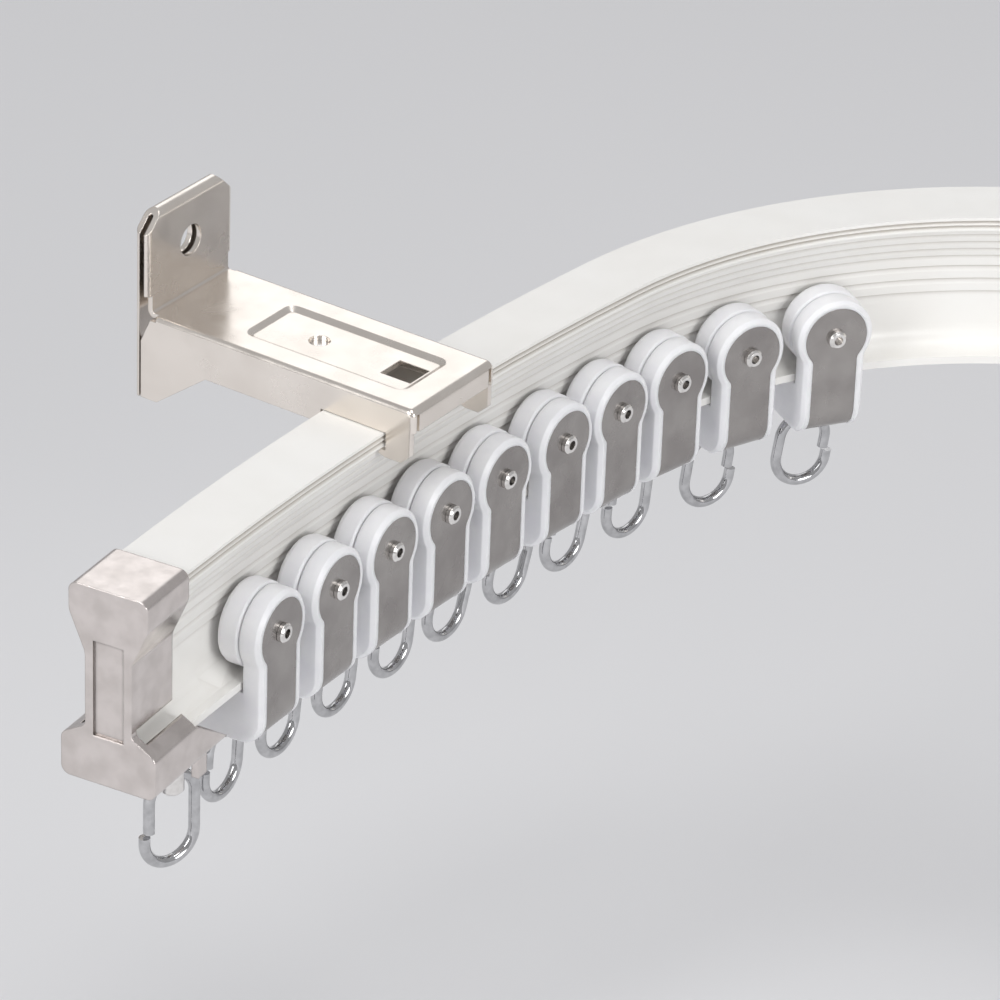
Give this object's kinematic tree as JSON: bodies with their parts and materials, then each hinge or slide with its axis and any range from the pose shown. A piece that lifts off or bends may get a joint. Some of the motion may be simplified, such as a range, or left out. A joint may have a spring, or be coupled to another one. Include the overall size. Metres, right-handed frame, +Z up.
{
  "type": "curtain track",
  "caption": "Curtain track of curved I-section rail on a folded wall bracket, with wheeled carriers, hook rings and end caps.",
  "frame": {"origin": "midpoint between the two wall screw holes, on the back face of the bracket", "axes": "+X away from the wall, +Y along the wall from the near end cap, +Z up"},
  "size_m": [0.1576, 0.2167, 0.0775],
  "materials": {
    "white_paint": "satin white paint on aluminium",
    "cap_metal": "satin nickel-look metal",
    "bracket_steel": "bright plated sheet",
    "nylon": "milky white nylon",
    "strap_steel": "plain rolled steel",
    "bright_steel": "bright plated",
    "ring_chrome": "polished wire"
  },
  "bodies": {
    "rail": {"rail": "white_paint", "end_cap_near": "cap_metal", "end_cap_far": "cap_metal", "bracket": "bracket_steel", "clamp_screw": "bright_steel"},
    "clamp": {"bracket_clamp": "bracket_steel"},
    "carrier_01": {"saddle_01": "nylon", "strap_01": "strap_steel", "rivets_01": "bright_steel"},
    "wheels_01": {"wheels_01": "nylon"},
    "ring_01": {"ring_01": "ring_chrome"},
    "carrier_02": {"saddle_02": "nylon", "strap_02": "strap_steel", "rivets_02": "bright_steel"},
    "wheels_02": {"wheels_02": "nylon"},
    "ring_02": {"ring_02": "ring_chrome"},
    "carrier_03": {"saddle_03": "nylon", "strap_03": "strap_steel", "rivets_03": "bright_steel"},
    "wheels_03": {"wheels_03": "nylon"},
    "ring_03": {"ring_03": "ring_chrome"},
    "carrier_04": {"saddle_04": "nylon", "strap_04": "strap_steel", "rivets_04": "bright_steel"},
    "wheels_04": {"wheels_04": "nylon"},
    "ring_04": {"ring_04": "ring_chrome"},
    "carrier_05": {"saddle_05": "nylon", "strap_05": "strap_steel", "rivets_05": "bright_steel"},
    "wheels_05": {"wheels_05": "nylon"},
    "ring_05": {"ring_05": "ring_chrome"},
    "carrier_06": {"saddle_06": "nylon", "strap_06": "strap_steel", "rivets_06": "bright_steel"},
    "wheels_06": {"wheels_06": "nylon"},
    "ring_06": {"ring_06": "ring_chrome"},
    "carrier_07": {"saddle_07": "nylon", "strap_07": "strap_steel", "rivets_07": "bright_steel"},
    "wheels_07": {"wheels_07": "nylon"},
    "ring_07": {"ring_07": "ring_chrome"},
    "carrier_08": {"saddle_08": "nylon", "strap_08": "strap_steel", "rivets_08": "bright_steel"},
    "wheels_08": {"wheels_08": "nylon"},
    "ring_08": {"ring_08": "ring_chrome"},
    "carrier_09": {"saddle_09": "nylon", "strap_09": "strap_steel", "rivets_09": "bright_steel"},
    "wheels_09": {"wheels_09": "nylon"},
    "ring_09": {"ring_09": "ring_chrome"},
    "carrier_10": {"saddle_10": "nylon", "strap_10": "strap_steel", "rivets_10": "bright_steel"},
    "wheels_10": {"wheels_10": "nylon"},
    "ring_10": {"ring_10": "ring_chrome"},
    "cap_eyelet_near": {"cap_eyelet_near": "bright_steel"},
    "cap_ring_near": {"cap_ring_near": "ring_chrome"},
    "cap_eyelet_far": {"cap_eyelet_far": "bright_steel"},
    "cap_ring_far": {"cap_ring_far": "ring_chrome"}
  },
  "joints": [
    {"name": "clamp_slide", "type": "slide", "parent": "rail", "child": "clamp", "axis": [-1, 0, 0], "range_m": [0, 0.0022]},
    {"name": "carrier_01_roll", "type": "hinge", "parent": "rail", "child": "carrier_01", "pos_m": [0.612, -0.01065, -0.0056], "axis": [0, 0, -1], "range_deg": [-0.0804, 0.069]},
    {"name": "wheels_01_spin", "type": "hinge", "parent": "carrier_01", "child": "wheels_01", "pos_m": [0.04296, -0.04363, -0.0233], "axis": [0.9983, 0.0579, 0], "continuous": true},
    {"name": "ring_01_swing", "type": "hinge", "parent": "carrier_01", "child": "ring_01", "pos_m": [0.04296, -0.04363, -0.0428], "axis": [-0.0579, 0.9983, 0], "range_deg": [-45, 45]},
    {"name": "carrier_02_roll", "type": "hinge", "parent": "rail", "child": "carrier_02", "pos_m": [0.612, -0.01065, -0.0056], "axis": [0, 0, -1], "range_deg": [-0.069, 0.0392]},
    {"name": "wheels_02_spin", "type": "hinge", "parent": "carrier_02", "child": "wheels_02", "pos_m": [0.04227, -0.02815, -0.0233], "axis": [0.9995, 0.0307, 0], "continuous": true},
    {"name": "ring_02_swing", "type": "hinge", "parent": "carrier_02", "child": "ring_02", "pos_m": [0.04227, -0.02815, -0.0428], "axis": [-0.0307, 0.9995, 0], "range_deg": [-45, 45]},
    {"name": "carrier_03_roll", "type": "hinge", "parent": "rail", "child": "carrier_03", "pos_m": [0.612, -0.01065, -0.0056], "axis": [0, 0, -1], "range_deg": [-0.0392, 0.0432]},
    {"name": "wheels_03_spin", "type": "hinge", "parent": "carrier_03", "child": "wheels_03", "pos_m": [0.04201, -0.0134, -0.0233], "axis": [1, 0.0048, 0], "continuous": true},
    {"name": "ring_03_swing", "type": "hinge", "parent": "carrier_03", "child": "ring_03", "pos_m": [0.04201, -0.0134, -0.0428], "axis": [-0.0048, 1, 0], "range_deg": [-45, 45]},
    {"name": "carrier_04_roll", "type": "hinge", "parent": "rail", "child": "carrier_04", "pos_m": [0.612, -0.01065, -0.0056], "axis": [0, 0, -1], "range_deg": [-0.0432, 0.0333]},
    {"name": "wheels_04_spin", "type": "hinge", "parent": "carrier_04", "child": "wheels_04", "pos_m": [0.04213, 0.00145, -0.0233], "axis": [0.9998, -0.0212, 0], "continuous": true},
    {"name": "ring_04_swing", "type": "hinge", "parent": "carrier_04", "child": "ring_04", "pos_m": [0.04213, 0.00145, -0.0428], "axis": [0.0212, 0.9998, 0], "range_deg": [-45, 45]},
    {"name": "carrier_05_roll", "type": "hinge", "parent": "rail", "child": "carrier_05", "pos_m": [0.612, -0.01065, -0.0056], "axis": [0, 0, -1], "range_deg": [-0.0333, 0.069]},
    {"name": "wheels_05_spin", "type": "hinge", "parent": "carrier_05", "child": "wheels_05", "pos_m": [0.04263, 0.01604, -0.0233], "axis": [0.9989, -0.0468, 0], "continuous": true},
    {"name": "ring_05_swing", "type": "hinge", "parent": "carrier_05", "child": "ring_05", "pos_m": [0.04263, 0.01604, -0.0428], "axis": [0.0468, 0.9989, 0], "range_deg": [-45, 45]},
    {"name": "carrier_06_roll", "type": "hinge", "parent": "rail", "child": "carrier_06", "pos_m": [0.612, -0.01065, -0.0056], "axis": [0, 0, -1], "range_deg": [-0.069, 0.0174]},
    {"name": "wheels_06_spin", "type": "hinge", "parent": "carrier_06", "child": "wheels_06", "pos_m": [0.04356, 0.03151, -0.0233], "axis": [0.9973, -0.074, 0], "continuous": true},
    {"name": "ring_06_swing", "type": "hinge", "parent": "carrier_06", "child": "ring_06", "pos_m": [0.04356, 0.03151, -0.0428], "axis": [0.074, 0.9973, 0], "range_deg": [-45, 45]},
    {"name": "carrier_07_roll", "type": "hinge", "parent": "rail", "child": "carrier_07", "pos_m": [0.612, -0.01065, -0.0056], "axis": [0, 0, -1], "range_deg": [-0.0174, 0.0359]},
    {"name": "wheels_07_spin", "type": "hinge", "parent": "carrier_07", "child": "wheels_07", "pos_m": [0.04479, 0.04566, -0.0233], "axis": [0.9951, -0.0988, 0], "continuous": true},
    {"name": "ring_07_swing", "type": "hinge", "parent": "carrier_07", "child": "ring_07", "pos_m": [0.04479, 0.04566, -0.0428], "axis": [0.0988, 0.9951, 0], "range_deg": [-45, 45]},
    {"name": "carrier_08_roll", "type": "hinge", "parent": "rail", "child": "carrier_08", "pos_m": [0.13411, 0.04391, -0.0056], "axis": [0, 0, -1], "range_deg": [-0.23, 16.09]},
    {"name": "wheels_08_spin", "type": "hinge", "parent": "carrier_08", "child": "wheels_08", "pos_m": [0.04669, 0.06063, -0.0233], "axis": [0.9822, -0.1878, 0], "continuous": true},
    {"name": "ring_08_swing", "type": "hinge", "parent": "carrier_08", "child": "ring_08", "pos_m": [0.04669, 0.06063, -0.0428], "axis": [0.1878, 0.9822, 0], "range_deg": [-45, 45]},
    {"name": "carrier_09_roll", "type": "hinge", "parent": "carrier_08", "child": "carrier_09", "pos_m": [0.13411, 0.04391, -0.0056], "axis": [0, 0, -1], "range_deg": [-0.78, 16.09]},
    {"name": "wheels_09_spin", "type": "hinge", "parent": "carrier_09", "child": "wheels_09", "pos_m": [0.05142, 0.07683, -0.0233], "axis": [0.9291, -0.3699, 0], "continuous": true},
    {"name": "ring_09_swing", "type": "hinge", "parent": "carrier_09", "child": "ring_09", "pos_m": [0.05142, 0.07683, -0.0428], "axis": [0.3699, 0.9291, 0], "range_deg": [-45, 45]},
    {"name": "carrier_10_roll", "type": "hinge", "parent": "carrier_09", "child": "carrier_10", "pos_m": [0.13411, 0.04391, -0.0056], "axis": [0, 0, -1], "range_deg": [-1.18, 16.09]},
    {"name": "wheels_10_spin", "type": "hinge", "parent": "carrier_10", "child": "wheels_10", "pos_m": [0.05966, 0.09269, -0.0233], "axis": [0.8365, -0.548, 0], "continuous": true},
    {"name": "ring_10_swing", "type": "hinge", "parent": "carrier_10", "child": "ring_10", "pos_m": [0.05966, 0.09269, -0.0428], "axis": [0.548, 0.8365, 0], "range_deg": [-45, 45]},
    {"name": "cap_eyelet_near_swivel", "type": "hinge", "parent": "rail", "child": "cap_eyelet_near", "pos_m": [0.04366, -0.05712, -0.0376], "axis": [0, 0, 1], "continuous": true},
    {"name": "cap_ring_near_swing", "type": "hinge", "parent": "cap_eyelet_near", "child": "cap_ring_near", "pos_m": [0.04366, -0.05712, -0.0448], "axis": [0.3038, 0.9527, 0], "range_deg": [-20, 20]},
    {"name": "cap_eyelet_far_swivel", "type": "hinge", "parent": "rail", "child": "cap_eyelet_far", "pos_m": [0.13981, 0.13291, -0.0376], "axis": [0, 0, 1], "continuous": true},
    {"name": "cap_ring_far_swing", "type": "hinge", "parent": "cap_eyelet_far", "child": "cap_ring_far", "pos_m": [0.13981, 0.13291, -0.0448], "axis": [1, 0, 0], "range_deg": [-20, 20]}
  ]
}
